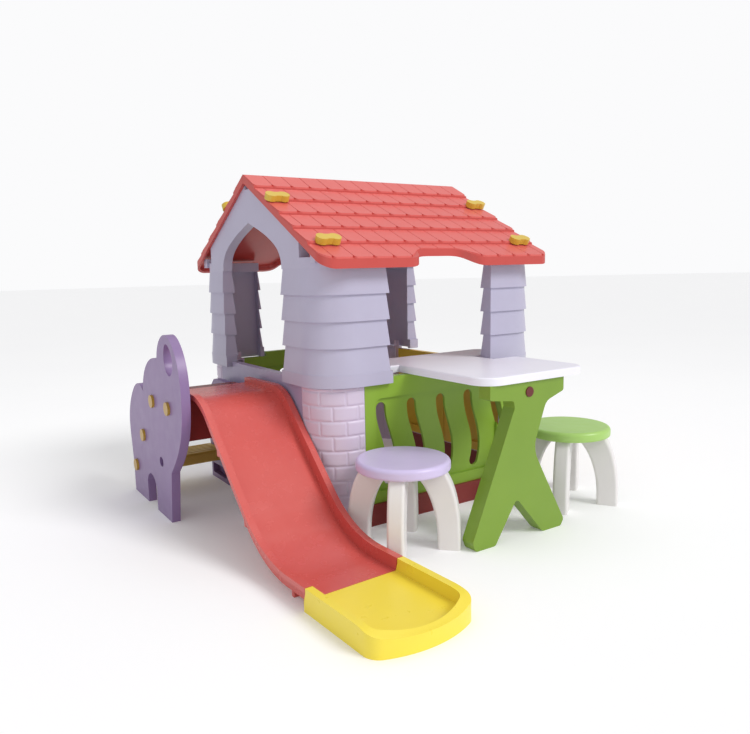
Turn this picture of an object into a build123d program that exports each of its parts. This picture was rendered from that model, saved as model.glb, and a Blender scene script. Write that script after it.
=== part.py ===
from build123d import *
from math import atan2, cos, degrees, radians, sin, tan
import os

os.makedirs("parts", exist_ok=True)

# A child's plastic playhouse with a slide, a ladder, a counter table and two stools.
# Lengths are millimetres. The ridge of the house runs along X, +Z is up and the floor is z = 0.
# Everything is drawn about the middle of the house, and "site" then moves the whole set so
# that its origin lies at the middle of its footprint.

# ---------------------------------------------------------------- driving dimensions: house
house_length = 953.0        # along X, over the siding
house_width = 1018.0        # along Y, over the siding
wall_depth = 37.0           # how far the moulded edges of a wall reach inwards
skin = 5.0                  # wall of the moulded shells
corner_radius = 127.0       # rounded outer corner of a post
upper_arm = 254.0           # siding post, outer corner to window jamb
lower_arm = 160.0           # brick post, outer corner to panel
brick_inset = 10.0          # brick face behind the siding face
collar_bottom = 479.0       # underside of the siding post
collar_height = 42.0
board_height = 84.75
board_count = 4
board_lap = 8.0             # how far the foot of a board stands out
collar_lap = 9.0
spigot_height = 30.0        # brick post reaching up inside the siding post
spigot_width = 18.0

# ---------------------------------------------------------------- driving dimensions: roof
eave_rise = 26.0            # roof at its eaves, above the tops of the posts
roof_overhang = 12.0        # past the gable walls
eave_overhang = 46.0        # past the front and back walls
roof_pitch = 29.5
roof_skin = 9.0
roof_depth = 26.0           # depth of the rim round a roof half, square to the slope
roof_rim = 11.0             # width of that rim
tile_rows = 6
tile_step = 7.0             # drop at the foot of a row of tiles
ridge_gap = 0.4             # half the gap between the two roof halves
eave_corner = 48.0
arch_half = 172.0           # half the width of the dip in the eave
arch_back = 62.0            # how far the dip cuts back from the eave
gable_wall = 170.0          # from the point of the arch in the gable wall up to the ridge

# ---------------------------------------------------------------- driving dimensions: wall panels
rail_height = 73.0
rail_depth = 34.0
panel_gap = 1.0             # round a panel that is dropped in between two posts
panel_depth = 30.0
crown_rise = 19.0           # crown of a panel, above the foot of the siding posts
panel_tray = 10.0           # depth of the sunk field in a panel
slot_width = 40.0
slot_pitch = 128.0
slot_count = 5
door_head_gap = 7.0         # under the collar
door_foot_gap = 7.0         # over the base rail
door_depth = 24.0
door_gap = 4.0
pin_radius = 6.0
pin_clearance = 0.08
lug_height = 22.0
lug_levels = (120.0, 400.0)    # undersides of the hinge lugs
lug_gap = 1.0

# ---------------------------------------------------------------- driving dimensions: table
table_left = -137.5
table_right = 317.5
table_reach = 366.0         # out from the front wall
shoulder_gap = 39.0         # front wall to the part that passes in front of the siding post
table_lift = 2.0            # table over the crown of the front panel
table_thickness = 25.0
table_skin = 5.0
table_rim = 12.0
table_corner = 68.0
counter_setback = 62.0      # front wall to the inner counter
counter_width = 172.0
counter_side_gap = 91.5     # gable wall to the end of the inner counter
neck_gap = 6.0
leg_setback = 10.0          # table edge to the face of the leg
leg_depth = 48.0
leg_bolt_radius = 16.0
leg_bolt_x = 52.0
leg_bolt_drop = 34.0        # under the table

# ---------------------------------------------------------------- driving dimensions: stools
stool_height = 280.0
seat_diameter = 292.0
seat_thickness = 34.0
leg_reach = 176.0           # stool centre to the outer face of a foot
foot_depth = 70.0
leg_width = 50.0
leg_round = 9.0
tenon_height = 14.0
tenon_radius = 14.0
tenon_clearance = 0.3
near_stool_place = (-307.0, 181.0, 0.0)   # along X, out from the front wall, turn in degrees
far_stool_place = (427.5, 191.0, -12.0)

# ---------------------------------------------------------------- driving dimensions: slide, ladder
slide_width = 317.0
slide_gap = 11.0            # house wall to the slide
slide_turn = 2.4            # degrees, the foot of the slide swung towards the house
chute_skin = 7.0
rim_width = 22.0
rim_drop = 14.0
wall_thickness = 8.0
deck_height = 447.0
chute_back = 15.0           # upper end of the chute
deck_back = 105.0           # back edge of the platform
deck_rim = 19.0             # rim above the deck
slide_slope = 45.6          # degrees
slope_start = -225.0        # where the line of the bed meets the deck
bed_end_height = 27.0
bed_end = -878.0
rim_end = -886.0
wall_rise = 38.0            # side wall of the chute, square to the bed
end_length = 322.0          # yellow end piece
end_bow = 40.0              # how far its front bulges
end_seam = 2.0
end_lip = 42.0              # height of its front lip
panel_thickness = 30.0      # ladder side panels
ladder_gap = 8.0
step_depth = 140.0
step_height = 48.0
step_shell = 6.0
steps = ((342.0, 115.0), (218.0, 258.0))       # middle of each step, along Y and up
beam_front = -140.0
beam_height = 145.0
cap_radius = 23.0
cap_height = 9.0
bolt_radius = 7.0
bolt_clearance = 0.3
bolt_depth = 26.0
platform_bolts = ((74.0, 408.0), (-102.0, 408.0))

# ---------------------------------------------------------------- driving dimensions: roof bolts
wing_radius = 21.0
wing_spread = 23.0
wing_height = 21.0
shank_radius = 8.0
shank_length = 34.0
roof_bolt_places = ((0.92, 185.0), (0.853, 461.0))   # share of half the roof length, level distance

# ---------------------------------------------------------------- worked-out values
half_length = house_length / 2
panel_top = collar_bottom + crown_rise
door_top = collar_bottom - door_head_gap
door_bottom = rail_height + door_foot_gap
half_width = house_width / 2
table_top = panel_top + table_lift + table_thickness
post_top = collar_bottom + collar_height + board_count * board_height
slope = radians(roof_pitch)
roof_length = house_length + 2 * roof_overhang
roof_run = half_width + eave_overhang
ridge_height = post_top + eave_rise + roof_run * tan(slope)
gable_peak = ridge_height - gable_wall
table_front = -half_width - table_reach
table_shoulder = -half_width - shoulder_gap
counter_front = -half_width + counter_setback
counter_back = counter_front + counter_width
counter_half = half_length - counter_side_gap
leg_front = table_front + leg_setback
leg_bolt_z = table_top - table_thickness - leg_bolt_drop
near_stool = (near_stool_place[0], -half_width - near_stool_place[1], near_stool_place[2])
far_stool = (far_stool_place[0], -half_width - far_stool_place[1], far_stool_place[2])
wall_x = -half_length
slide_right = wall_x - slide_gap
slide_left = slide_right - slide_width
ladder_inner_face = slide_left - ladder_gap
ladder_outer_face = ladder_inner_face - panel_thickness
end_front = bed_end - end_length
x_low = ladder_outer_face - cap_height
foot_turn = radians(45 + far_stool[2])
foot_side = (leg_reach - leg_round) * cos(foot_turn) + (leg_width / 2 - leg_round) * sin(foot_turn)
x_high = far_stool[0] + foot_side + leg_round
bow_radius = ((slide_width / 2) ** 2 + end_bow**2) / (2 * end_bow)
y_low = (end_front + bow_radius) * cos(radians(slide_turn)) - bow_radius
y_high = roof_run
site_x = -(x_low + x_high) / 2
site_y = -(y_low + y_high) / 2


def level(z, x=0.0, y=0.0, turn=0.0):
    """A level plane at height z, with its origin at (x, y) from the middle of the house."""
    middle = (site_x + x, site_y + y, z)
    return Plane(origin=middle, x_dir=(cos(radians(turn)), sin(radians(turn)), 0), z_dir=(0, 0, 1))


def across(x):
    """An upright plane at x, drawn in (Y, Z), whose normal is +X."""
    return Plane(origin=(site_x + x, site_y, 0), x_dir=(0, 1, 0), z_dir=(1, 0, 0))


def along(y):
    """An upright plane at y, drawn in (X, Z), whose normal is -Y."""
    return Plane(origin=(site_x, site_y + y, 0), x_dir=(1, 0, 0), z_dir=(0, -1, 0))


def beside_slide(x):
    """An upright plane along the run of the slide, at x from the middle of its width."""
    turn = radians(slide_turn)
    middle = (slide_left + slide_right) / 2
    start = (site_x + middle + x * cos(turn), site_y + x * sin(turn), 0)
    return Plane(origin=start, x_dir=(-sin(turn), cos(turn), 0), z_dir=(cos(turn), sin(turn), 0))


def over_slide(z, y=0.0):
    """A level plane at height z, turned with the slide, with its origin y along its run."""
    turn = radians(slide_turn)
    middle = (slide_left + slide_right) / 2
    start = (site_x + middle - y * sin(turn), site_y + y * cos(turn), z)
    return Plane(origin=start, x_dir=(cos(turn), sin(turn), 0), z_dir=(0, 0, 1))


def on_roof(x, run, side):
    """A plane lying on the slope of one roof half, level distance run from the ridge."""
    height = ridge_height - run * tan(slope)
    normal = (0, side * sin(slope), cos(slope))
    return Plane(origin=(site_x + x, site_y + side * run, height), x_dir=(1, 0, 0), z_dir=normal)


def save(name, builder):
    """Label a finished piece and write it."""
    builder.part.label = name
    export_step(builder.part, f"parts/{name}.step")


def draw_post(side_x, side_y, grow, arm, depth):
    """Draw the L of a corner post, its outer faces moved outwards by grow."""
    outer_x = side_x * (half_length + grow)
    outer_y = side_y * (half_width + grow)
    radius = corner_radius + grow
    end_x = side_x * (half_length - arm)
    end_y = side_y * (half_width - arm)
    inner_x = side_x * (half_length - depth)
    inner_y = side_y * (half_width - depth)
    outline = [
        (end_x, outer_y),
        (outer_x, outer_y),
        (outer_x, end_y),
        (inner_x, end_y),
        (inner_x, inner_y),
        (end_x, inner_y),
    ]
    if side_x * side_y > 0:
        outline.reverse()
    face = Polygon(*outline, align=None)
    fillet(face.vertices().sort_by_distance((outer_x, outer_y))[0], radius)


corners = {
    "front_left": (-1, -1),
    "front_right": (1, -1),
    "back_left": (-1, 1),
    "back_right": (1, 1),
}

# ---------------------------------------------------------------- siding posts
taper = degrees(atan2(board_lap, board_height))
for corner, (side_x, side_y) in corners.items():
    with BuildPart() as siding_post:
        with BuildSketch(level(collar_bottom)):
            draw_post(side_x, side_y, collar_lap, upper_arm + collar_lap, wall_depth)
        extrude(amount=collar_height)
        for board in range(board_count):
            foot = collar_bottom + collar_height + board * board_height
            with BuildSketch(level(foot)):
                draw_post(side_x, side_y, board_lap, upper_arm, wall_depth + board_lap)
            extrude(amount=board_height, taper=taper)
        # open the back of the post, leaving the skin, the jamb edges and the top
        with BuildSketch(level(collar_bottom)):
            draw_post(side_x, side_y, -skin, upper_arm - 2 * skin, wall_depth + 2 * board_lap)
        extrude(amount=post_top - collar_bottom - skin, mode=Mode.SUBTRACT)
    save(f"siding_post_{corner}", siding_post)

# ---------------------------------------------------------------- brick posts
wall_middle = brick_inset + wall_depth / 2
door_axis_x = half_length - wall_middle
door_jamb = half_width - lower_arm
door_axis_y = door_jamb - door_depth / 2 - door_gap
for corner, (side_x, side_y) in corners.items():
    with BuildPart() as brick_post:
        with BuildSketch(level(0)):
            draw_post(side_x, side_y, -brick_inset, lower_arm, brick_inset + wall_depth)
        extrude(amount=collar_bottom)
        with BuildSketch(level(0)):
            draw_post(side_x, side_y, -brick_inset - skin, lower_arm - skin, wall_depth + 2 * brick_inset)
        extrude(amount=collar_bottom - skin, mode=Mode.SUBTRACT)
        # spigots that the siding post drops over
        with BuildSketch(level(collar_bottom)):
            with Locations(
                (side_x * (half_length - lower_arm + spigot_width), side_y * (half_width - wall_middle)),
                (side_x * (half_length - wall_middle), side_y * (half_width - lower_arm + spigot_width)),
            ):
                Rectangle(spigot_width, spigot_width)
        extrude(amount=spigot_height)
        if side_x > 0:
            # lugs for the hinge pins of the door leaf
            for lug_level in lug_levels:
                with BuildSketch(level(lug_level, door_axis_x, side_y * door_axis_y)):
                    Circle(door_depth / 2 - lug_gap)
                    with Locations((0, side_y * (door_depth / 2 + door_gap) / 2)):
                        Rectangle(door_depth - 2 * lug_gap, door_depth / 2 + door_gap)
                extrude(amount=lug_height)
                with Locations(level(lug_level, door_axis_x, side_y * door_axis_y)):
                    Cylinder(
                        pin_radius,
                        lug_height,
                        align=(Align.CENTER, Align.CENTER, Align.MIN),
                        mode=Mode.SUBTRACT,
                    )
    save(f"brick_post_{corner}", brick_post)

# ---------------------------------------------------------------- gable walls
under_skin = roof_skin / cos(slope)


def roof_underside(level_distance):
    return ridge_height - level_distance * tan(slope) - under_skin - tile_step


ridge_flat = roof_rim + 4
boss_half = 2 * shank_radius
boss_depth = 36.0

for name, side_x in (("left", -1), ("right", 1)):
    face_x = side_x * half_length
    inner_x = face_x - side_x * wall_depth
    low_x = min(face_x, inner_x)
    arch_spring = half_width - upper_arm
    with BuildPart() as gable:
        with BuildSketch(across(low_x)):
            with BuildLine():
                Polyline(
                    (arch_spring, post_top),
                    (half_width - corner_radius, post_top),
                    (half_width - corner_radius, roof_underside(half_width - corner_radius)),
                    (ridge_flat, roof_underside(ridge_flat)),
                    (ridge_flat, roof_underside(ridge_flat) - roof_depth),
                    (-ridge_flat, roof_underside(ridge_flat) - roof_depth),
                    (-ridge_flat, roof_underside(ridge_flat)),
                    (-(half_width - corner_radius), roof_underside(half_width - corner_radius)),
                    (-(half_width - corner_radius), post_top),
                    (-arch_spring, post_top),
                )
                Spline(
                    (-arch_spring, post_top),
                    (-arch_spring * 0.78, post_top + (gable_peak - post_top) * 0.52),
                    (0, gable_peak),
                    tangents=[(0, 1), (1, 0.35)],
                )
                Spline(
                    (0, gable_peak),
                    (arch_spring * 0.78, post_top + (gable_peak - post_top) * 0.52),
                    (arch_spring, post_top),
                    tangents=[(1, -0.35), (0, -1)],
                )
            make_face()
        extrude(amount=wall_depth)
        # sunk back, which leaves the skin and a rim
        with BuildSketch(across(inner_x)):
            for side_y in (-1, 1):
                with BuildLine():
                    Polyline(
                        (side_y * (arch_spring + 3 * skin), post_top + 2 * skin),
                        (side_y * (half_width - corner_radius - skin), post_top + 2 * skin),
                        (
                            side_y * (half_width - corner_radius - skin),
                            roof_underside(half_width - corner_radius - skin) - 2 * skin,
                        ),
                        (side_y * arch_spring * 0.85, roof_underside(arch_spring * 0.85) - 2 * skin),
                        (side_y * (arch_spring + 3 * skin), post_top + 2 * skin),
                    )
                make_face()
        extrude(amount=-side_x * (skin - wall_depth), mode=Mode.SUBTRACT)
        # rounded corners above the posts, closed against the roof
        for side_y in (-1, 1):
            with BuildSketch(level(post_top)):
                draw_post(side_x, side_y, 0, upper_arm - 2, wall_depth + 2)
            extrude(amount=roof_underside(half_width) - post_top)
        # blocks that take the roof bolts
        for share, run in roof_bolt_places:
            block_start = share * roof_length / 2 - boss_half
            block_length = half_length - skin - block_start
            for side_y in (-1, 1):
                with BuildSketch(level(roof_underside(run + boss_half) - boss_depth)):
                    with Locations((side_x * (block_start + block_length / 2), side_y * run)):
                        Rectangle(block_length, 2 * boss_half)
                extrude(amount=boss_depth)
        for share, run in roof_bolt_places:
            for side_y in (-1, 1):
                with Locations(on_roof(side_x * share * roof_length / 2, run, side_y)):
                    Cylinder(shank_radius + bolt_clearance, 2 * shank_length, mode=Mode.SUBTRACT)
    save(f"gable_{name}", gable)

# ---------------------------------------------------------------- roof halves
row_run = roof_run / tile_rows


def draw_roof_plan(side_y, inset):
    """Draw one roof half seen from above, inset all round, with the dip in its eave."""
    half = roof_length / 2 - inset
    eave = roof_run - inset
    corner = max(eave_corner - inset, 1)
    dip_half = arch_half + inset / 2
    shape = Polygon(
        (-half, side_y * (ridge_gap + inset)),
        (half, side_y * (ridge_gap + inset)),
        (half, side_y * eave),
        (-half, side_y * eave),
        align=None,
    )
    fillet(shape.vertices().group_by(Axis.Y)[0 if side_y < 0 else -1], corner)
    with BuildLine() as dip:
        Polyline(
            (-dip_half, side_y * eave),
            (-dip_half, side_y * (eave + 1)),
            (dip_half, side_y * (eave + 1)),
            (dip_half, side_y * eave),
        )
        Spline(
            (dip_half, side_y * eave),
            (0.57 * dip_half, side_y * (eave - 0.78 * arch_back)),
            (0, side_y * (eave - arch_back)),
            (-0.57 * dip_half, side_y * (eave - 0.78 * arch_back)),
            (-dip_half, side_y * eave),
            tangents=[(-1, 0), (-1, 0)],
        )
    make_face(dip.edges(), mode=Mode.SUBTRACT)


eave_overrun = 10.0
overrun = roof_run + eave_overrun
depth = roof_depth / cos(slope)
for name, side_y in (("front", -1), ("back", 1)):
    with BuildPart() as under_roof:
        with BuildSketch(across(-roof_length / 2)):
            Polygon(
                (0, ridge_height - depth - 400),
                (0, ridge_height - under_skin),
                (side_y * overrun, ridge_height - under_skin - overrun * tan(slope)),
                (side_y * overrun, ridge_height - depth - 400 - roof_run),
                align=None,
            )
        extrude(amount=roof_length)
        with BuildSketch(level(0)):
            draw_roof_plan(side_y, roof_rim)
        extrude(amount=2 * ridge_height, mode=Mode.INTERSECT)
    with BuildPart() as roof:
        profile = [(0, ridge_height - depth), (0, ridge_height)]
        for row in range(1, tile_rows):
            profile.append((side_y * row * row_run, ridge_height - row * row_run * tan(slope)))
            profile.append((side_y * row * row_run, profile[-1][1] - tile_step))
        profile.append((side_y * overrun, ridge_height - overrun * tan(slope)))
        profile.append((side_y * overrun, profile[-1][1] - depth))
        with BuildSketch(across(-roof_length / 2)):
            Polygon(*profile, align=None)
        extrude(amount=roof_length)
        with BuildSketch(level(0)):
            draw_roof_plan(side_y, 0)
        extrude(amount=2 * ridge_height, mode=Mode.INTERSECT)
        add(under_roof.part, mode=Mode.SUBTRACT)
        for share, run in roof_bolt_places:
            for side_x in (-1, 1):
                with Locations(on_roof(side_x * share * roof_length / 2, run, side_y)):
                    Cylinder(shank_radius + bolt_clearance, 2 * shank_length, mode=Mode.SUBTRACT)
    save(f"roof_{name}", roof)

# ---------------------------------------------------------------- roof bolts with two-lobed heads
with BuildPart() as roof_bolts:
    for share, run in roof_bolt_places:
        for side_x in (-1, 1):
            for side_y in (-1, 1):
                seat = on_roof(side_x * share * roof_length / 2, run, side_y)
                with BuildSketch(seat):
                    with Locations((-wing_spread, 0), (wing_spread, 0)):
                        Circle(wing_radius)
                    Rectangle(2 * wing_spread, 1.5 * wing_radius)
                extrude(amount=wing_height)
                with BuildSketch(seat):
                    Circle(shank_radius)
                extrude(amount=-shank_length)
save("roof_bolts", roof_bolts)

# ---------------------------------------------------------------- base rails
x_rail_half = half_length - lower_arm - panel_gap
y_rail_half = half_width - lower_arm - panel_gap
for name, side_y in (("front", -1), ("back", 1)):
    with BuildPart() as base_rail:
        with BuildSketch(level(0, 0, side_y * (half_width - rail_depth / 2))):
            Rectangle(2 * x_rail_half, rail_depth)
        extrude(amount=rail_height)
        with BuildSketch(level(0, 0, side_y * (half_width - rail_depth / 2))):
            Rectangle(2 * (x_rail_half - skin), rail_depth - 2 * skin)
        extrude(amount=rail_height - skin, mode=Mode.SUBTRACT)
    save(f"base_rail_{name}", base_rail)
for name, side_x in (("left", -1), ("right", 1)):
    with BuildPart() as base_rail:
        with BuildSketch(level(0, side_x * (half_length - rail_depth / 2))):
            Rectangle(rail_depth, 2 * y_rail_half)
        extrude(amount=rail_height)
        with BuildSketch(level(0, side_x * (half_length - rail_depth / 2))):
            Rectangle(rail_depth - 2 * skin, 2 * (y_rail_half - skin))
        extrude(amount=rail_height - skin, mode=Mode.SUBTRACT)
    save(f"base_rail_{name}", base_rail)

# ---------------------------------------------------------------- green panels with wavy slots
panel_shoulder = collar_bottom - panel_gap
slot_top = panel_top - 104
slot_bottom = rail_height + 74
for name, side_y in (("front", -1), ("back", 1)):
    face_y = side_y * (half_width - brick_inset)
    half_panel = x_rail_half
    crown_half = half_length - upper_arm - 2 * collar_lap
    with BuildPart() as fence:
        with BuildSketch(along(face_y)):
            with Locations((0, (rail_height + panel_shoulder) / 2)):
                Rectangle(2 * half_panel, panel_shoulder - rail_height)
            with Locations((0, (rail_height + panel_top) / 2)):
                Rectangle(2 * crown_half, panel_top - rail_height)
        extrude(amount=side_y * panel_depth)
        # sunk fields on both faces
        with BuildSketch(along(face_y)):
            with Locations((0, (slot_top + slot_bottom) / 2)):
                RectangleRounded(2 * (half_panel - 42), slot_top - slot_bottom + 70, 24)
        extrude(amount=side_y * panel_tray, mode=Mode.SUBTRACT)
        with BuildSketch(along(face_y - side_y * panel_depth)):
            with Locations((0, (slot_top + slot_bottom) / 2)):
                RectangleRounded(2 * (half_panel - 42), slot_top - slot_bottom + 70, 24)
        extrude(amount=-side_y * panel_tray, mode=Mode.SUBTRACT)
        with BuildSketch(along(face_y)):
            for slot in range(slot_count):
                slot_x = (slot - (slot_count - 1) / 2) * slot_pitch + 10
                with BuildLine() as wave:
                    Spline(
                        (slot_x, slot_top),
                        (slot_x + 14, slot_top - 0.3 * (slot_top - slot_bottom)),
                        (slot_x + 38, slot_top - 0.68 * (slot_top - slot_bottom)),
                        (slot_x + 28, slot_bottom),
                        tangents=[(0, -1), (-0.35, -1)],
                    )
                trace(wave.edges(), line_width=slot_width)
                with Locations((slot_x, slot_top), (slot_x + 28, slot_bottom)):
                    Circle(slot_width / 2)
        extrude(amount=side_y * panel_depth, mode=Mode.SUBTRACT)
    save(f"fence_{name}", fence)

# ---------------------------------------------------------------- lilac panel behind the slide
with BuildPart() as side_panel:
    panel_face = -half_length + brick_inset
    crown_half = half_width - upper_arm - 2 * collar_lap
    with BuildSketch(across(panel_face)):
        with Locations((0, (rail_height + panel_shoulder) / 2)):
            Rectangle(2 * y_rail_half, panel_shoulder - rail_height)
        with Locations((0, (rail_height + panel_top) / 2)):
            Rectangle(2 * crown_half, panel_top - rail_height)
    extrude(amount=panel_depth)
    with BuildSketch(across(panel_face + skin)):
        with Locations((0, (rail_height + panel_shoulder) / 2)):
            Rectangle(2 * (y_rail_half - 3 * skin), panel_shoulder - rail_height - 6 * skin)
    extrude(amount=panel_depth, mode=Mode.SUBTRACT)
save("side_panel", side_panel)

# ---------------------------------------------------------------- door leaves and hinge pins
pin_reach = 34.0
for name, side_y in (("front", -1), ("back", 1)):
    axis_y = side_y * door_axis_y
    leaf_edge = side_y * door_gap / 2
    with BuildPart() as door_leaf:
        with BuildSketch(level(door_bottom, door_axis_x)):
            with Locations((0, (axis_y + leaf_edge) / 2)):
                Rectangle(door_depth, abs(axis_y - leaf_edge))
            with Locations((0, axis_y)):
                Circle(door_depth / 2)
        extrude(amount=door_top - door_bottom)
        # sunk fields
        with BuildSketch(across(door_axis_x + door_depth / 2)):
            with Locations(((axis_y + leaf_edge) / 2, (door_top + door_bottom) / 2)):
                RectangleRounded(abs(axis_y - leaf_edge) - 80, door_top - door_bottom - 70, 30)
        extrude(amount=-panel_tray, mode=Mode.SUBTRACT)
        with BuildSketch(across(door_axis_x - door_depth / 2)):
            with Locations(((axis_y + leaf_edge) / 2, (door_top + door_bottom) / 2)):
                RectangleRounded(abs(axis_y - leaf_edge) - 80, door_top - door_bottom - 70, 30)
        extrude(amount=panel_tray, mode=Mode.SUBTRACT)
        for lug_level in lug_levels:
            with BuildSketch(level(lug_level - lug_gap, door_axis_x, axis_y)):
                Rectangle(2 * door_depth, 2 * (door_depth / 2 + lug_gap))
            extrude(amount=lug_height + 2 * lug_gap, mode=Mode.SUBTRACT)
            with BuildSketch(level(lug_level, door_axis_x, axis_y)):
                Circle(pin_radius + pin_clearance)
            extrude(amount=lug_height + pin_reach + 2 * lug_gap, mode=Mode.SUBTRACT)
    save(f"door_leaf_{name}", door_leaf)

    with BuildPart() as hinge_pins:
        for lug_level in lug_levels:
            with BuildSketch(level(lug_level, door_axis_x, axis_y)):
                Circle(pin_radius)
            extrude(amount=lug_height + pin_reach)
    save(f"door_pins_{name}", hinge_pins)

# ---------------------------------------------------------------- counter table
table_under = table_top - table_thickness
neck_right = half_length - upper_arm - collar_lap - neck_gap
table_outline = (
    (table_left, table_front),
    (table_right, table_front),
    (table_right, table_shoulder),
    (neck_right, table_shoulder),
    (neck_right, counter_front),
    (counter_half, counter_front),
    (counter_half, counter_back),
    (-counter_half, counter_back),
    (-counter_half, counter_front),
    (table_left, counter_front),
)
with BuildPart() as table:
    with BuildSketch(level(table_under)) as table_plan:
        Polygon(*table_outline, align=None)
        fillet(table_plan.vertices().group_by(Axis.Y)[0], table_corner)
        fillet(table_plan.vertices().group_by(Axis.Y)[-1], table_corner / 2)
        shoulder = table_plan.vertices().sort_by_distance((table_right, table_shoulder))[0]
        fillet(shoulder, table_corner / 3)
    extrude(amount=table_thickness)
    fillet(table.faces().sort_by(Axis.Z)[-1].edges(), 6)
    with BuildSketch(level(table_under)) as tray:
        Polygon(*table_outline, align=None)
        fillet(tray.vertices().group_by(Axis.Y)[0], table_corner)
        fillet(tray.vertices().group_by(Axis.Y)[-1], table_corner / 2)
        fillet(tray.vertices().sort_by_distance((table_right, table_shoulder))[0], table_corner / 3)
        offset(amount=-table_rim, mode=Mode.REPLACE)
    extrude(amount=table_thickness - table_skin, mode=Mode.SUBTRACT)
save("table_top", table)

# ---------------------------------------------------------------- trestle leg of the table
trestle_hollows = (
    ((-24, 300), (22, 300), (-48, 130), (-128, 20), (-158, 28)),
    ((58, 262), (10, 262), (-18, 180), (20, 148), (128, 20), (190, 20)),
    ((62, 300), (-28, 320), (8, 420), (30, 436), (92, 420)),
    ((-98, 494), (26, 494), (26, 460), (-98, 466)),
    ((72, 494), (196, 494), (196, 470), (120, 450), (72, 450)),
)
with BuildPart() as trestle:
    with BuildSketch(along(leg_front + leg_depth)) as trestle_face:
        with BuildLine() as trestle_line:
            FilletPolyline(
                (-112, table_under),
                (-112, table_under - 44),
                (-14, table_under - 56),
                (-10, table_under - 78),
                (-180, 30),
                (-168, 0),
                (-88, 0),
                (2, 134),
                (120, 0),
                (205, 0),
                (219, 22),
                (72, 282),
                (128, table_under - 72),
                (176, table_under - 56),
                (207, table_under - 46),
                (207, table_under),
                radius=[6, 9, 8, 14, 10, 14, 12, 14, 12, 14, 90, 40, 16, 10],
            )
            Line((207, table_under), (-112, table_under))
        make_face()
    extrude(amount=leg_depth)
    # hollows in the back of the leg
    with BuildSketch(along(leg_front + leg_depth)):
        for hollow in trestle_hollows:
            Polygon(*hollow, align=None)
    extrude(amount=leg_depth - skin, mode=Mode.SUBTRACT)
    with BuildSketch(along(leg_front)):
        with Locations((leg_bolt_x, leg_bolt_z)):
            Circle(shank_radius + bolt_clearance)
    extrude(amount=-leg_depth, mode=Mode.SUBTRACT)
    with BuildSketch(along(leg_front)):
        with Locations((leg_bolt_x, leg_bolt_z)):
            Circle(leg_bolt_radius + bolt_clearance)
    extrude(amount=-6, mode=Mode.SUBTRACT)
save("table_leg", trestle)

with BuildPart() as leg_bolt:
    with BuildSketch(along(leg_front - 3)):
        with Locations((leg_bolt_x, leg_bolt_z)):
            Circle(leg_bolt_radius)
    extrude(amount=-9)
    with BuildSketch(along(leg_front + 6)):
        with Locations((leg_bolt_x, leg_bolt_z)):
            Circle(shank_radius)
    extrude(amount=-(leg_depth - 8))
save("leg_bolt", leg_bolt)

# ---------------------------------------------------------------- stools
seat_under = stool_height - seat_thickness
leg_top_reach = 128.0
for name, (stool_x, stool_y, turn) in (("lilac", near_stool), ("green", far_stool)):
    tenon_reach = leg_top_reach - 34
    with BuildPart() as seat:
        with BuildSketch(level(seat_under, stool_x, stool_y)):
            Circle(seat_diameter / 2)
        extrude(amount=seat_thickness)
        fillet(seat.edges().group_by(Axis.Z)[-1], 13)
        fillet(seat.edges().group_by(Axis.Z)[0], 8)
        with BuildSketch(level(seat_under, stool_x, stool_y, turn + 45)):
            with PolarLocations(tenon_reach, 4):
                Circle(tenon_radius + tenon_clearance)
        extrude(amount=tenon_height + tenon_clearance, mode=Mode.SUBTRACT)
        # hollows under the seat, between the four leg pads
        with BuildSketch(level(seat_under, stool_x, stool_y, turn + 45)):
            Circle(seat_diameter / 2 - 14)
            Rectangle(seat_diameter, leg_width + 10, mode=Mode.SUBTRACT)
            Rectangle(leg_width + 10, seat_diameter, mode=Mode.SUBTRACT)
        extrude(amount=seat_thickness - skin - 2, mode=Mode.SUBTRACT)
    save(f"stool_seat_{name}", seat)

    for number in range(4):
        angle = radians(turn + 45 + 90 * number)
        middle = (site_x + stool_x, site_y + stool_y, 0)
        outward = (cos(angle), sin(angle), 0)
        leg_plane = Plane(origin=middle, x_dir=outward, z_dir=(sin(angle), -cos(angle), 0))
        with BuildPart() as stool_leg:
            with BuildSketch(leg_plane):
                with BuildLine():
                    Line((leg_reach, 0), (leg_reach - foot_depth, 0))
                    Spline(
                        (leg_reach - foot_depth, 0),
                        (leg_reach - foot_depth - 10, 120),
                        (leg_width / 2 + 24, seat_under - 26),
                        (leg_width / 2 + 1, seat_under - 14),
                        tangents=[(0, 1), (-1, 0.1)],
                    )
                    Line((leg_width / 2 + 1, seat_under - 14), (leg_width / 2 + 1, seat_under))
                    Line((leg_width / 2 + 1, seat_under), (leg_top_reach, seat_under))
                    Spline(
                        (leg_top_reach, seat_under),
                        (leg_reach - 10, 150),
                        (leg_reach, 0),
                        tangents=[(0.75, -1), (0, -1)],
                    )
                make_face()
            extrude(amount=leg_width / 2, both=True)
            fillet(stool_leg.edges().filter_by(GeomType.BSPLINE), leg_round)
            with BuildSketch(level(seat_under, stool_x, stool_y, turn + 45 + 90 * number)):
                with Locations((tenon_reach, 0)):
                    Circle(tenon_radius)
            extrude(amount=tenon_height)
            with BuildSketch(level(0, stool_x, stool_y, turn + 45 + 90 * number)):
                with Locations((leg_reach - foot_depth / 2 - 1, 0)):
                    RectangleRounded(foot_depth - 28, leg_width - 18, 6)
            extrude(amount=160, mode=Mode.SUBTRACT)
        save(f"stool_leg_{name}_{number + 1}", stool_leg)

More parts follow.
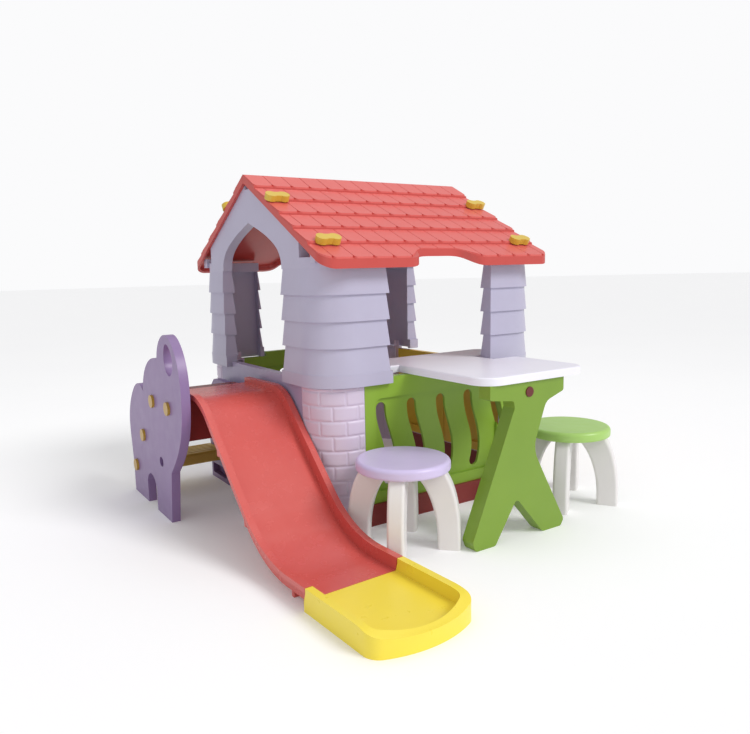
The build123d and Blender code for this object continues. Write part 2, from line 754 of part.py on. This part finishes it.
# ---------------------------------------------------------------- slide chute
half_slide = slide_width / 2
bed_fall = deck_height - bed_end_height
fall_run = bed_fall / tan(radians(slide_slope))
rim_lift = wall_rise / cos(radians(slide_slope))
crest_height = deck_height + deck_rim
crest_end_height = bed_end_height + wall_rise
crest_start = slope_start - (rim_lift - deck_rim) / tan(radians(slide_slope))
crest_run = (crest_height - crest_end_height) / tan(radians(slide_slope))
bed_line = [
    (chute_back, deck_height),
    (slope_start, deck_height),
    (slope_start - fall_run, bed_end_height),
    (bed_end, bed_end_height),
]
crest_line = [
    (chute_back, crest_height),
    (crest_start, crest_height),
    (crest_start - crest_run, crest_end_height),
    (rim_end, crest_end_height),
]
bends = [160.0, 330.0]       # bend at the top of the slope, bend at its foot


def dropped(points, drop):
    """The same three-part line, moved down square to itself."""
    turn = drop * tan(radians(slide_slope) / 2)
    start, high, low, end = points
    return [
        (start[0], start[1] - drop),
        (high[0] + turn, high[1] - drop),
        (low[0] + turn, low[1] - drop),
        (end[0], end[1] - drop),
    ]


bed_half = half_slide - rim_width
bands = (
    (bed_line, chute_skin, -bed_half, 2 * bed_half),
    (crest_line, chute_skin, -half_slide, rim_width),
    (crest_line, chute_skin, bed_half, rim_width),
    (crest_line, rim_drop, -half_slide, skin),
    (crest_line, rim_drop, half_slide - skin, skin),
)
with BuildPart() as chute:
    for band_line, drop, start, width in bands:
        with BuildSketch(beside_slide(start)):
            with BuildLine():
                upper = FilletPolyline(*band_line, radius=bends)
                lower = FilletPolyline(*dropped(band_line, drop), radius=bends)
                Line(upper @ 0, lower @ 0)
                Line(upper @ 1, lower @ 1)
            make_face()
        extrude(amount=width)
    # side walls
    for start in (-bed_half - wall_thickness, bed_half):
        with BuildSketch(beside_slide(start)):
            with BuildLine():
                upper = FilletPolyline(*crest_line, radius=bends)
                lower = FilletPolyline(*dropped(bed_line, chute_skin), radius=bends)
                Line(upper @ 0, lower @ 0)
                Line(upper @ 1, lower @ 1)
            make_face()
        extrude(amount=wall_thickness)
    # ribs across the underside of the bed, and two that stand on the floor
    for rib_share in (0.3, 0.72):
        rib_y = slope_start - rib_share * fall_run
        rib_z = deck_height - rib_share * bed_fall
        with BuildSketch(over_slide(rib_z - 34, rib_y)):
            Rectangle(2 * bed_half + wall_thickness, 14)
        extrude(amount=27)
    for rib_y in (bed_end + 24, bed_end + 84):
        with BuildSketch(over_slide(0, rib_y)):
            Rectangle(2 * bed_half + wall_thickness, 12)
        extrude(amount=bed_end_height - chute_skin / 2)
save("slide_chute", chute)

# ---------------------------------------------------------------- slide end piece
end_back = bed_end - end_seam
end_side = end_front + end_bow
with BuildPart() as slide_end:
    with BuildSketch(beside_slide(-half_slide)):
        with BuildLine():
            Polyline(
                (end_front - 5, end_lip),
                (end_front - 5, 0),
                (end_back, 0),
                (end_back, bed_end_height),
                (rim_end - end_seam, crest_end_height - rim_drop),
                (rim_end - end_seam, crest_end_height),
                (end_side + 70, crest_end_height),
            )
            Spline(
                (end_side + 70, crest_end_height),
                (end_side + 8, crest_end_height - 9),
                (end_front - 5, end_lip),
                tangents=[(-1, 0), (-1, -0.1)],
            )
        make_face()
    extrude(amount=slide_width)
    with BuildSketch(over_slide(0)) as end_plan:
        Polygon(
            (-half_slide, end_back + 1),
            (-half_slide, end_side),
            (half_slide, end_side),
            (half_slide, end_back + 1),
            align=None,
        )
        with BuildLine():
            ThreePointArc((-half_slide, end_side), (0, end_front), (half_slide, end_side))
            Line((half_slide, end_side), (-half_slide, end_side))
        make_face()
        fillet(end_plan.vertices().filter_by_position(Axis.Y, end_side - 1, end_side + 1), 46)
    extrude(amount=200, mode=Mode.INTERSECT)
    with BuildSketch(over_slide(bed_end_height)) as end_bed:
        Polygon(
            (-bed_half, end_back + 60),
            (-bed_half, end_side + 22),
            (bed_half, end_side + 22),
            (bed_half, end_back + 60),
            align=None,
        )
        with BuildLine():
            ThreePointArc((-bed_half, end_side + 22), (0, end_front + 20), (bed_half, end_side + 22))
            Line((bed_half, end_side + 22), (-bed_half, end_side + 22))
        make_face()
        fillet(end_bed.vertices().filter_by_position(Axis.Y, end_side + 21, end_side + 23), 30)
    extrude(amount=200, mode=Mode.SUBTRACT)
    # hollow underside
    with BuildSketch(over_slide(0, (end_back + end_front) / 2 + 14)):
        Rectangle(2 * bed_half - 2 * skin, end_length - 70)
    extrude(amount=bed_end_height - skin, mode=Mode.SUBTRACT)
save("slide_end", slide_end)

# ---------------------------------------------------------------- ladder side panels
step_front, step_back = beam_front, deck_back
panels = (
    ("outer", ladder_outer_face, ladder_outer_face, 700.0, -300.0),
    ("inner", slide_right - panel_thickness, slide_right - panel_thickness, 425.0, -105.0),
)
for name, start, pocket_start, top_limit, front_limit in panels:
    with BuildPart() as ladder_panel:
        with BuildSketch(across(start)):
            with BuildLine():
                Line((-68, 0), (-97, 185))
                Spline(
                    (-97, 185), (-165, 250), (-222, 335), (-245, 455), (-232, 550),
                    (-180, 627), (-112, 656), (-45, 632), (-8, 568),
                )
                Spline((-8, 568), (45, 565), (110, 543), (165, 495), (190, 427))
                Spline((190, 427), (255, 450), (350, 398), (411, 290), (405, 200), (392, 110))
                Polyline((392, 110), (392, 0), (208, 0), (208, 85))
                ThreePointArc((208, 85), (150, 123), (95, 85))
                Polyline((95, 85), (95, 0), (-68, 0))
            make_face()
            with Locations(((front_limit + 500) / 2, top_limit / 2)):
                Rectangle(500 - front_limit, top_limit, mode=Mode.INTERSECT)
            if name == "outer":
                with BuildLine():
                    Spline(
                        (-118, 626), (-168, 595), (-176, 552), (-140, 522), (-92, 556),
                        periodic=True,
                    )
                make_face(mode=Mode.SUBTRACT)
                with Locations((12, 200)):
                    Ellipse(21, 17.5, mode=Mode.SUBTRACT)
            else:
                # the inner panel has no front foot: the beam carries it
                with Locations((150 - 300, 150)):
                    Rectangle(600, 300, mode=Mode.SUBTRACT)
        extrude(amount=panel_thickness)
        # hollows in the face that looks at the steps
        hollow_plane = across(start + panel_thickness) if name == "outer" else across(start)
        with BuildSketch(hollow_plane):
            if name == "outer":
                Polygon((-52, 20), (70, 20), (70, 150), (-66, 150), align=None)
            Polygon((232, 20), (376, 20), (376, 62), (232, 62), align=None)
            if name == "outer":
                Polygon((60, 170), (138, 166), (138, 222), (60, 222), align=None)
                Polygon((-190, 480), (-40, 480), (-40, 505), (-200, 505), align=None)
                Polygon((-10, 460), (140, 460), (100, 520), (-10, 540), align=None)
                Polygon((-195, 365), (-160, 365), (-160, 455), (-215, 455), align=None)
        pocket = panel_thickness - skin
        extrude(amount=-pocket if name == "outer" else pocket, mode=Mode.SUBTRACT)
        # bolt holes for the steps and the beam
        with BuildSketch(across(start)):
            for bolt_y, bolt_z in steps + platform_bolts:
                if bolt_y > front_limit:
                    with Locations((bolt_y, bolt_z)):
                        Circle(bolt_radius + bolt_clearance)
        extrude(amount=panel_thickness, mode=Mode.SUBTRACT)
    save(f"ladder_panel_{name}", ladder_panel)

# ---------------------------------------------------------------- steps and platform beam
span_start = ladder_inner_face + panel_gap / 2
span = slide_right - panel_thickness - panel_gap / 2 - span_start
step_middle = span_start + span / 2
for number, (step_y, step_z) in enumerate(steps):
    step_top = step_z + step_height / 2
    with BuildPart() as step:
        with BuildSketch(across(span_start)) as step_end:
            with Locations((step_y, step_z)):
                RectangleRounded(step_depth, step_height, 12)
        extrude(amount=span)
        with BuildSketch(level(step_z - step_height / 2, step_middle, step_y)):
            with GridLocations(span / 2, 0, 2, 1):
                Rectangle(span / 2 - 2 * bolt_depth, step_depth - 2 * step_shell)
        extrude(amount=step_height - step_shell, mode=Mode.SUBTRACT)
        for ridge in range(5):
            with BuildSketch(level(step_top - 0.5, step_middle, step_y + (ridge - 2) * 22)):
                Rectangle(span - 30, 8)
            extrude(amount=2.5)
        with BuildSketch(across(span_start)):
            with Locations((step_y, step_z)):
                Circle(bolt_radius + bolt_clearance)
        extrude(amount=bolt_depth, mode=Mode.SUBTRACT)
        with BuildSketch(across(span_start + span)):
            with Locations((step_y, step_z)):
                Circle(bolt_radius + bolt_clearance)
        extrude(amount=-bolt_depth, mode=Mode.SUBTRACT)
    save(f"step_{number + 1}", step)

beam_top = deck_height - chute_skin
with BuildPart() as beam:
    with BuildSketch(level(beam_top - beam_height, step_middle, (beam_front + deck_back) / 2)):
        Rectangle(span, deck_back - beam_front)
    extrude(amount=beam_height)
    with BuildSketch(level(beam_top - beam_height, step_middle, (beam_front + deck_back) / 2)):
        Rectangle(span - 2 * bolt_depth, deck_back - beam_front - 2 * step_shell)
    extrude(amount=beam_height - step_shell, mode=Mode.SUBTRACT)
    for start, depth in ((span_start, bolt_depth), (span_start + span, -bolt_depth)):
        with BuildSketch(across(start)):
            for bolt_place in platform_bolts:
                with Locations(bolt_place):
                    Circle(bolt_radius + bolt_clearance)
        extrude(amount=depth, mode=Mode.SUBTRACT)
save("platform_beam", beam)

# ---------------------------------------------------------------- capped bolts
with BuildPart() as outer_bolts:
    with BuildSketch(across(ladder_outer_face)):
        for bolt_place in steps + platform_bolts:
            with Locations(bolt_place):
                Circle(cap_radius)
    extrude(amount=-cap_height)
    with BuildSketch(across(ladder_outer_face)):
        for bolt_place in steps + platform_bolts:
            with Locations(bolt_place):
                Circle(bolt_radius)
    extrude(amount=panel_thickness + bolt_depth - 2)
save("ladder_bolts_outer", outer_bolts)

with BuildPart() as inner_bolts:
    with BuildSketch(across(slide_right)):
        for bolt_place in steps + platform_bolts:
            with Locations(bolt_place):
                Circle(cap_radius)
    extrude(amount=slide_gap - 2)
    with BuildSketch(across(slide_right)):
        for bolt_place in steps + platform_bolts:
            with Locations(bolt_place):
                Circle(bolt_radius)
    extrude(amount=-(panel_thickness + bolt_depth - 2))
save("ladder_bolts_inner", inner_bolts)
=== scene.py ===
"""The plastic playhouse: looks, laid-over bricks and roof tiles, studio and camera."""

from math import cos, pi, radians, sin, sqrt, tan

import bmesh
import bpy
from mathutils import Matrix, Vector


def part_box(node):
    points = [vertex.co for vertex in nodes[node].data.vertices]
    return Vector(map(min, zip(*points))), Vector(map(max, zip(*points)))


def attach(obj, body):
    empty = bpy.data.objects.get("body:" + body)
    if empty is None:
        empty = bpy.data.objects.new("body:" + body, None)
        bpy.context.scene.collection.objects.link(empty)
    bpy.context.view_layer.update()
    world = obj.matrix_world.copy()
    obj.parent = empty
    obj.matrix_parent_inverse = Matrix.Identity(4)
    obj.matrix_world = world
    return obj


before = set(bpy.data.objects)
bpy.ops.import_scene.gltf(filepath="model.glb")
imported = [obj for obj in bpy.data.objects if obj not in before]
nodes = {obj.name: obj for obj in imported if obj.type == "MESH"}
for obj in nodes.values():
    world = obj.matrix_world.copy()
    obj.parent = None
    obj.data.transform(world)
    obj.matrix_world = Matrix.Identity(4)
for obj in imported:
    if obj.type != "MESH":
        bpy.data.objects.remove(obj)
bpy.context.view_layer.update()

# The house stands about the middle of its roof, which is where most of the work is measured from.
roof_low, roof_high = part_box("roof_front")
house_x = (roof_low.x + roof_high.x) / 2
house_y = roof_high.y


# ---------------------------------------------------------------- colours and nodes
def linear(hex_colour):
    """An sRGB hex colour as linear values with alpha."""
    channels = [int(hex_colour[i : i + 2], 16) / 255 for i in (1, 3, 5)]
    values = [c / 12.92 if c <= 0.04045 else ((c + 0.055) / 1.055) ** 2.4 for c in channels]
    return (*values, 1.0)


def add_node(tree, kind, settings=(), **inputs):
    """Add a node, set its attributes, and fill its inputs with values or other nodes' outputs.

    An input is given by its name with _ for a space, or by its number as n0, n1 and so on.
    """
    node = tree.nodes.new(kind)
    for attribute, value in dict(settings).items():
        setattr(node, attribute, value)
    for key, value in inputs.items():
        numbered = key[0] == "n" and key[1:].isdigit()
        socket = node.inputs[int(key[1:]) if numbered else key.replace("_", " ")]
        if isinstance(value, bpy.types.NodeSocket):
            tree.links.new(value, socket)
        else:
            socket.default_value = value
    return node


def start_material(name):
    """A new node material with its shader and its object coordinates."""
    material = bpy.data.materials.new(name)
    material.use_nodes = True
    tree = material.node_tree
    shader = tree.nodes["Principled BSDF"]
    place = add_node(tree, "ShaderNodeTexCoord").outputs["Object"]
    return material, tree, shader, place


def per_metre(millimetres):
    """Noise scale whose features are about this many millimetres across."""
    return 1000 / millimetres


def moulded(name, colour, shade, gloss=0.36, stipple=0.08):
    """Blow-moulded or rotation-moulded polyethylene.

    The eye sees a slightly cloudy colour, a broad soft shine that breaks up in patches, and a
    fine stipple from the blasted mould.
    """
    material, tree, shader, place = start_material(name)
    cloud = add_node(
        tree, "ShaderNodeTexNoise", Vector=place, Scale=per_metre(150), Detail=4.0, Roughness=0.55
    )
    tint = add_node(
        tree, "ShaderNodeMix", {"data_type": "RGBA"},
        n0=cloud.outputs["Fac"], n6=linear(shade), n7=linear(colour),
    )
    tree.links.new(tint.outputs["Result"], shader.inputs["Base Color"])
    patches = add_node(tree, "ShaderNodeTexNoise", Vector=place, Scale=per_metre(35), Detail=5.0)
    shine = add_node(tree, "ShaderNodeMapRange", n0=patches.outputs["Fac"], n3=gloss - 0.06, n4=gloss + 0.10)
    tree.links.new(shine.outputs["Result"], shader.inputs["Roughness"])
    # the real stipple is under a millimetre across; 2.5 mm is the smallest that shows
    grain = add_node(tree, "ShaderNodeTexNoise", Vector=place, Scale=per_metre(2.5), Detail=2.0)
    swell = add_node(tree, "ShaderNodeTexNoise", Vector=place, Scale=per_metre(70), Detail=1.0)
    waves = add_node(tree, "ShaderNodeBump", Height=swell.outputs["Fac"], Strength=0.25, Distance=0.004)
    bump = add_node(
        tree, "ShaderNodeBump",
        Height=grain.outputs["Fac"], Strength=stipple, Distance=0.0006, Normal=waves.outputs["Normal"],
    )
    tree.links.new(bump.outputs["Normal"], shader.inputs["Normal"])
    shader.inputs["IOR"].default_value = 1.51
    shader.inputs["Coat Weight"].default_value = 0.08
    shader.inputs["Coat Roughness"].default_value = 0.2
    return material


lavender = moulded("pale lavender moulded polyethylene", "#BFBBD2", "#B6B1C8")
brick_lilac = moulded("lilac moulded polyethylene, brick pattern", "#DDD0E3", "#D1C3D9")
table_white = moulded("white-lilac moulded polyethylene", "#F6F4FE", "#EEECF8", gloss=0.32)
# the roof shell is the tiles' coral red made darker: painted shade for the underside of the roof and the gaps
# between tiles
roof_red_with_painted_shade = moulded("coral red moulded polyethylene", "#CE5049", "#C24640", gloss=0.30)
tile_red = moulded("coral red moulded polyethylene, tiles", "#E16761", "#D65D57", gloss=0.34)
slide_red = moulded("red moulded polyethylene, slide", "#D8625B", "#CE5852", gloss=0.24, stipple=0.04)
rail_red = moulded("dark red moulded polyethylene", "#8A2724", "#7A1F1E", gloss=0.38)
leg_green = moulded("lime green moulded polyethylene, trestle leg", "#7FA02E", "#749528")
fence_green = moulded("lime green moulded polyethylene", "#92B63A", "#86AA32")
seat_green = moulded("leaf green moulded polyethylene", "#AFD674", "#A3CB69", gloss=0.34)
seat_lilac = moulded("lilac moulded polyethylene, stool seat", "#D8CBEF", "#CCBEE4")
leg_white = moulded("off-white moulded polyethylene, stool legs", "#ECE9E8", "#E2DEDD", gloss=0.38)
door_yellow = moulded("yellow moulded polyethylene, doors", "#E2BE3C", "#D8B234")
end_yellow = moulded("bright yellow moulded polyethylene", "#FBE54C", "#F4DC42", gloss=0.28, stipple=0.04)
step_yellow = moulded("yellow moulded polyethylene, steps", "#D6B552", "#CBA947")
panel_purple = moulded("purple moulded polyethylene", "#9076A4", "#846A98", gloss=0.38)
cap_ochre = moulded("ochre moulded nylon caps", "#C09A3A", "#B28B30", gloss=0.32)
bolt_yellow = moulded("yellow moulded nylon wing bolts", "#DDBE45", "#CFAE38", gloss=0.30)
bolt_maroon = moulded("maroon moulded nylon bolt", "#6B1F1B", "#5A1816", gloss=0.30)
panel_lilac = moulded("lilac moulded polyethylene, side panel", "#B0A5C4", "#A499B9")

# Turned steel rod: bright, with a fine lathe line round it that stretches its highlights.
steel_rod, steel_tree, steel_shader, steel_place = start_material("turned mild steel rod")
steel_lines = add_node(steel_tree, "ShaderNodeTexNoise", Vector=steel_place, Scale=per_metre(1.5), Detail=3.0)
steel_tone = add_node(
    steel_tree, "ShaderNodeMix", {"data_type": "RGBA"},
    n0=steel_lines.outputs["Fac"], n6=linear("#9A9CA0"), n7=linear("#C4C6CA"),
)
steel_tree.links.new(steel_tone.outputs["Result"], steel_shader.inputs["Base Color"])
steel_shine = add_node(steel_tree, "ShaderNodeMapRange", n0=steel_lines.outputs["Fac"], n3=0.22, n4=0.38)
steel_tree.links.new(steel_shine.outputs["Result"], steel_shader.inputs["Roughness"])
steel_bump = add_node(
    steel_tree, "ShaderNodeBump", Height=steel_lines.outputs["Fac"], Strength=0.1, Distance=0.0003
)
steel_tree.links.new(steel_bump.outputs["Normal"], steel_shader.inputs["Normal"])
steel_shader.inputs["Metallic"].default_value = 1.0


def paint(name, material):
    """Give a carried-over CAD piece its material."""
    mesh = nodes[name].data
    mesh.materials.clear()
    mesh.materials.append(material)


corners = {"front_left": (-1, -1), "front_right": (1, -1), "back_left": (-1, 1), "back_right": (1, 1)}
for corner in corners:
    paint(f"siding_post_{corner}", lavender)
    paint(f"brick_post_{corner}", brick_lilac)
for side in ("left", "right"):
    paint(f"gable_{side}", lavender)
    paint(f"base_rail_{side}", rail_red)
for side in ("front", "back"):
    # the roof shells take the darker red, painted shade under the roof
    paint(f"roof_{side}", roof_red_with_painted_shade)
    paint(f"base_rail_{side}", rail_red)
    paint(f"fence_{side}", fence_green)
    paint(f"door_leaf_{side}", door_yellow)
    paint(f"door_pins_{side}", steel_rod)
paint("roof_bolts", bolt_yellow)
paint("side_panel", panel_lilac)
paint("table_top", table_white)
paint("table_leg", leg_green)
paint("leg_bolt", bolt_maroon)
for colour, seat_material in (("lilac", seat_lilac), ("green", seat_green)):
    paint(f"stool_seat_{colour}", seat_material)
    for number in range(1, 5):
        paint(f"stool_leg_{colour}_{number}", leg_white)
paint("slide_chute", slide_red)
paint("slide_end", end_yellow)
paint("platform_beam", rail_red)
for side in ("outer", "inner"):
    paint(f"ladder_panel_{side}", panel_purple)
    paint(f"ladder_bolts_{side}", cap_ochre)
paint("step_1", step_yellow)
paint("step_2", step_yellow)

# ---------------------------------------------------------------- pieces laid over the CAD shells
MM = 0.001
HOUSE_HALF_LENGTH, HOUSE_HALF_WIDTH = 476.5, 509.0
# plan of a brick post: inset from the siding, corner radius, straight part on each side
POST_INSET, POST_RADIUS, POST_STRAIGHT = 10.0, 117.0, 33.0


def house_point(x, y, z):
    """A point given in millimetres from the middle of the house."""
    return Vector((house_x + x * MM, house_y + y * MM, z * MM))


def new_piece(name, shape, material, body, smooth=True):
    """Turn a finished bmesh into a piece with a material that rides on a body."""
    mesh = bpy.data.meshes.new(name)
    shape.normal_update()
    shape.to_mesh(mesh)
    shape.free()
    mesh.materials.append(material)
    for polygon in mesh.polygons:
        polygon.use_smooth = smooth
    piece = bpy.data.objects.new(name, mesh)
    bpy.context.scene.collection.objects.link(piece)
    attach(piece, body)
    return piece


def post_face(side_x, side_y, run, height, proud):
    """A point on the outside of a brick post, run mm along it from the window side of its X arm."""
    radius, straight, quarter = POST_RADIUS, POST_STRAIGHT, POST_RADIUS * pi / 2
    wide, deep = HOUSE_HALF_LENGTH - POST_INSET, HOUSE_HALF_WIDTH - POST_INSET
    if run < straight:
        x, y = wide - radius - straight + run, deep + proud
    elif run < straight + quarter:
        angle = (run - straight) / radius
        x = wide - radius + (radius + proud) * sin(angle)
        y = deep - radius + (radius + proud) * cos(angle)
    else:
        x, y = wide + proud, deep - radius - (run - straight - quarter)
    return house_point(side_x * x, side_y * y, height)


def smooth_step(value):
    """An S curve from 0 to 1."""
    value = min(max(value, 0.0), 1.0)
    return value * value * (3 - 2 * value)


def spread(share):
    """Move evenly spaced shares towards both ends, where the rounded edges need them."""
    return share - 0.13 * sin(2 * pi * share)


# Bricks: a raised patch for each, with soft edges, laid in courses round the post.
BRICK_HEIGHT, BRICK_WIDTH, BRICK_LOWEST, JOINT_WIDTH, BRICK_PROUD = 49.5, 88.0, 21.0, 3.0, 2.4
BRICK_EDGE, BRICK_SUNK, BRICK_SHIFT = 3.5, 0.4, 20.0
POST_FOOT, POST_HEAD, SHORTEST_BRICK = 1.0, 477.0, 8.0
ACROSS_COUNT, UP_COUNT = 18, 10
POST_RUN = 2 * POST_STRAIGHT + POST_RADIUS * pi / 2
for corner, (side_x, side_y) in corners.items():
    bricks = bmesh.new()
    for course in range(-1, 10):
        low = max(BRICK_LOWEST + course * BRICK_HEIGHT + JOINT_WIDTH / 2, POST_FOOT)
        high = min(BRICK_LOWEST + (course + 1) * BRICK_HEIGHT - JOINT_WIDTH / 2, POST_HEAD)
        first = -BRICK_WIDTH / 2 * (course % 2) - BRICK_SHIFT
        for brick in range(5):
            start = max(first + brick * BRICK_WIDTH + JOINT_WIDTH / 2, 1.0)
            end = min(first + (brick + 1) * BRICK_WIDTH - JOINT_WIDTH / 2, POST_RUN - 1.0)
            if end - start < SHORTEST_BRICK:
                continue
            grid = []
            for i in range(ACROSS_COUNT + 1):
                column = []
                for j in range(UP_COUNT + 1):
                    run = start + (end - start) * spread(i / ACROSS_COUNT)
                    height = low + (high - low) * spread(j / UP_COUNT)
                    edge = min(run - start, end - run, height - low, high - height)
                    proud = BRICK_PROUD * smooth_step(edge / BRICK_EDGE) - BRICK_SUNK
                    column.append(bricks.verts.new(post_face(side_x, side_y, run, height, proud)))
                grid.append(column)
            for i in range(ACROSS_COUNT):
                for j in range(UP_COUNT):
                    ring = [grid[i][j], grid[i + 1][j], grid[i + 1][j + 1], grid[i][j + 1]]
                    bricks.faces.new(ring if side_x * side_y > 0 else reversed(ring))
    new_piece(f"bricks_{corner}", bricks, brick_lilac, "house")

# Roof tiles: a rounded foot on every tile, and a thin gap between neighbours.
RIDGE, PITCH, ROOF_RUN, ROOF_HALF = 1200.0, radians(29.5), 555.0, 488.5
ROWS, ROW_RUN, TILE_STEP, TILE_WIDTH = 6, 92.5, 7.0, 75.2
TILE_PROUD, TILE_GAP, TILE_ROUND = 5.0, 2.2, 15.0
TILE_EDGE, TILE_SUNK, TILE_BEVEL, NARROWEST_TILE = 1.5, 1.0, 1.4, 14.0
FOOT_STEPS = 22
EAVE_CORNER, DIP_HALF, DIP_BACK = 48.0, 172.0, 62.0


def eave_run(x):
    """How far from the ridge the roof reaches at x, allowing for its round corners and its dip."""
    away = abs(x)
    reach = ROOF_RUN
    if away > ROOF_HALF - EAVE_CORNER:
        over = min(away - (ROOF_HALF - EAVE_CORNER), EAVE_CORNER)
        reach -= EAVE_CORNER - sqrt(EAVE_CORNER**2 - over**2)
    if away < DIP_HALF:
        reach -= DIP_BACK * (1 - smooth_step((away / DIP_HALF - 0.38) / 0.62))
    return reach


def row_height(row, run):
    """Top of the CAD shell in one row of tiles."""
    share = (run - row * ROW_RUN) / ROW_RUN
    drop = TILE_STEP * (1 - share) if row else 0.0
    return RIDGE - run * tan(PITCH) - drop


for side, side_y in (("front", -1), ("back", 1)):
    tiles = bmesh.new()
    for row in range(ROWS):
        offset = TILE_WIDTH / 2 if row % 2 else 0.0
        for column in range(-7, 8):
            centre = column * TILE_WIDTH + offset
            left = max(centre - TILE_WIDTH / 2 + TILE_GAP / 2, -ROOF_HALF + TILE_EDGE)
            right_edge = min(centre + TILE_WIDTH / 2 - TILE_GAP / 2, ROOF_HALF - TILE_EDGE)
            if right_edge - left < NARROWEST_TILE:
                continue
            rounding = min(TILE_ROUND, (right_edge - left) / 2 - 1)
            foot = []
            for i in range(FOOT_STEPS + 1):
                x = left + (right_edge - left) * (0.5 - 0.5 * cos(pi * i / FOOT_STEPS))
                over = max(rounding - min(x - left, right_edge - x), 0.0)
                run = (row + 1) * ROW_RUN - (rounding - sqrt(max(rounding**2 - over**2, 0.0)))
                foot.append((x, min(run, eave_run(x) - TILE_EDGE)))
            head_run = row * ROW_RUN + (4.0 if row == 0 else -1.0)
            outline = foot + [(right_edge, head_run), (left, head_run)]
            rim, base = [], []
            for x, run in outline:
                share = (run - row * ROW_RUN) / ROW_RUN
                proud = TILE_PROUD * (0.25 + 0.75 * min(max(share, 0), 1))
                height = row_height(row, run)
                rim.append(tiles.verts.new(house_point(x, side_y * run, height + proud)))
                base.append(tiles.verts.new(house_point(x, side_y * run, height - TILE_SUNK)))
            count = len(outline)
            top = tiles.faces.new(rim if side_y < 0 else rim[::-1])
            for i in range(count):
                ring = [base[i], base[(i + 1) % count], rim[(i + 1) % count], rim[i]]
                tiles.faces.new(ring if side_y < 0 else ring[::-1])
    shared = [edge for edge in tiles.edges if len(edge.link_faces) == 2]
    rims = [edge for edge in shared if any(len(face.verts) > 4 for face in edge.link_faces)]
    bmesh.ops.bevel(
        tiles, geom=rims, offset=TILE_BEVEL * MM, segments=2, affect="EDGES", clamp_overlap=True
    )
    new_piece(f"tiles_{side}", tiles, tile_red, "house", smooth=False)

# ---------------------------------------------------------------- floor, light and camera
floor_mesh = bpy.data.meshes.new("studio_floor")
floor_shape = bmesh.new()
FLOOR_RADIUS = 60  # metres, so that its edge lies near the horizon
bmesh.ops.create_circle(floor_shape, cap_ends=True, radius=FLOOR_RADIUS, segments=96)
floor_shape.to_mesh(floor_mesh)
floor_shape.free()
floor = bpy.data.objects.new("studio_floor", floor_mesh)
bpy.context.scene.collection.objects.link(floor)
floor_material, floor_tree, floor_shader, floor_place = start_material("white painted studio floor")
floor_tone = add_node(floor_tree, "ShaderNodeTexNoise", Vector=floor_place, Scale=per_metre(900), Detail=2.0)
floor_mix = add_node(
    floor_tree, "ShaderNodeMix", {"data_type": "RGBA"},
    n0=floor_tone.outputs["Fac"], n6=linear("#F4F4F5"), n7=linear("#F7F7F7"),
)
floor_tree.links.new(floor_mix.outputs["Result"], floor_shader.inputs["Base Color"])
floor_shader.inputs["Roughness"].default_value = 0.9
floor_shader.inputs["Emission Color"].default_value = linear("#FFFFFF")
floor_shader.inputs["Emission Strength"].default_value = 0.10
floor_shader.inputs["Specular IOR Level"].default_value = 0.1
floor_mesh.materials.append(floor_material)

world = bpy.data.worlds.new("soft studio")
world.use_nodes = True
# the camera sees a white backdrop; the light that falls on the set is softer
world_tree = world.node_tree
path = add_node(world_tree, "ShaderNodeLightPath")
glow = add_node(world_tree, "ShaderNodeMapRange", n0=path.outputs["Is Camera Ray"], n3=0.58, n4=1.0)
backdrop = world_tree.nodes["Background"]
backdrop.inputs["Color"].default_value = linear("#FBFBFC")
world_tree.links.new(glow.outputs["Result"], backdrop.inputs["Strength"])
bpy.context.scene.world = world


def soft_light(name, place, aim, size, power):
    """A large square studio light pointed at a place."""
    lamp = bpy.data.lights.new(name, "AREA")
    lamp.shape = "SQUARE"
    lamp.size = size
    lamp.energy = power
    holder = bpy.data.objects.new(name, lamp)
    holder.location = place
    holder.rotation_euler = (Vector(aim) - Vector(place)).to_track_quat("-Z", "Y").to_euler()
    bpy.context.scene.collection.objects.link(holder)


# an even light over the whole floor, as from a wall of windows behind the camera's right side
day = bpy.data.lights.new("key_light", "SUN")
day.energy = 1.55
day.angle = radians(24)
day_holder = bpy.data.objects.new("key_light", day)
day_holder.rotation_euler = Vector((-1.6, 3.0, -2.9)).to_track_quat("-Z", "Y").to_euler()
bpy.context.scene.collection.objects.link(day_holder)
soft_light("fill_light", (-3.4, -2.4, 1.8), (0, 0, 0.5), 3.0, 10)
soft_light("top_light", (0.4, 0.4, 4.2), (0, 0, 0.4), 3.0, 24)

# the camera: turned from +Y towards +X, tipped down and rolled, all in radians
yaw, pitch, roll = 0.5614, 0.1433, 0.0257
forward = Vector((sin(yaw) * cos(pitch), cos(yaw) * cos(pitch), -sin(pitch)))
level_right = Vector((cos(yaw), -sin(yaw), 0))
level_down = forward.cross(level_right)
right = level_right * cos(roll) + level_down * sin(roll)
down = level_down * cos(roll) - level_right * sin(roll)
camera_data = bpy.data.cameras.new("studio_camera")
camera_data.lens = 32.76
camera_data.sensor_width = 36
camera_data.shift_x = 0.033
camera_data.shift_y = 0.004
camera = bpy.data.objects.new("studio_camera", camera_data)
turn = Matrix((right, -down, -forward)).transposed().to_4x4()
camera_place = (house_x - 1.5176, house_y - 2.3257, 0.8469)
camera.matrix_world = Matrix.Translation(camera_place) @ turn
bpy.context.scene.collection.objects.link(camera)
bpy.context.scene.camera = camera
bpy.context.scene.view_settings.view_transform = "Standard"
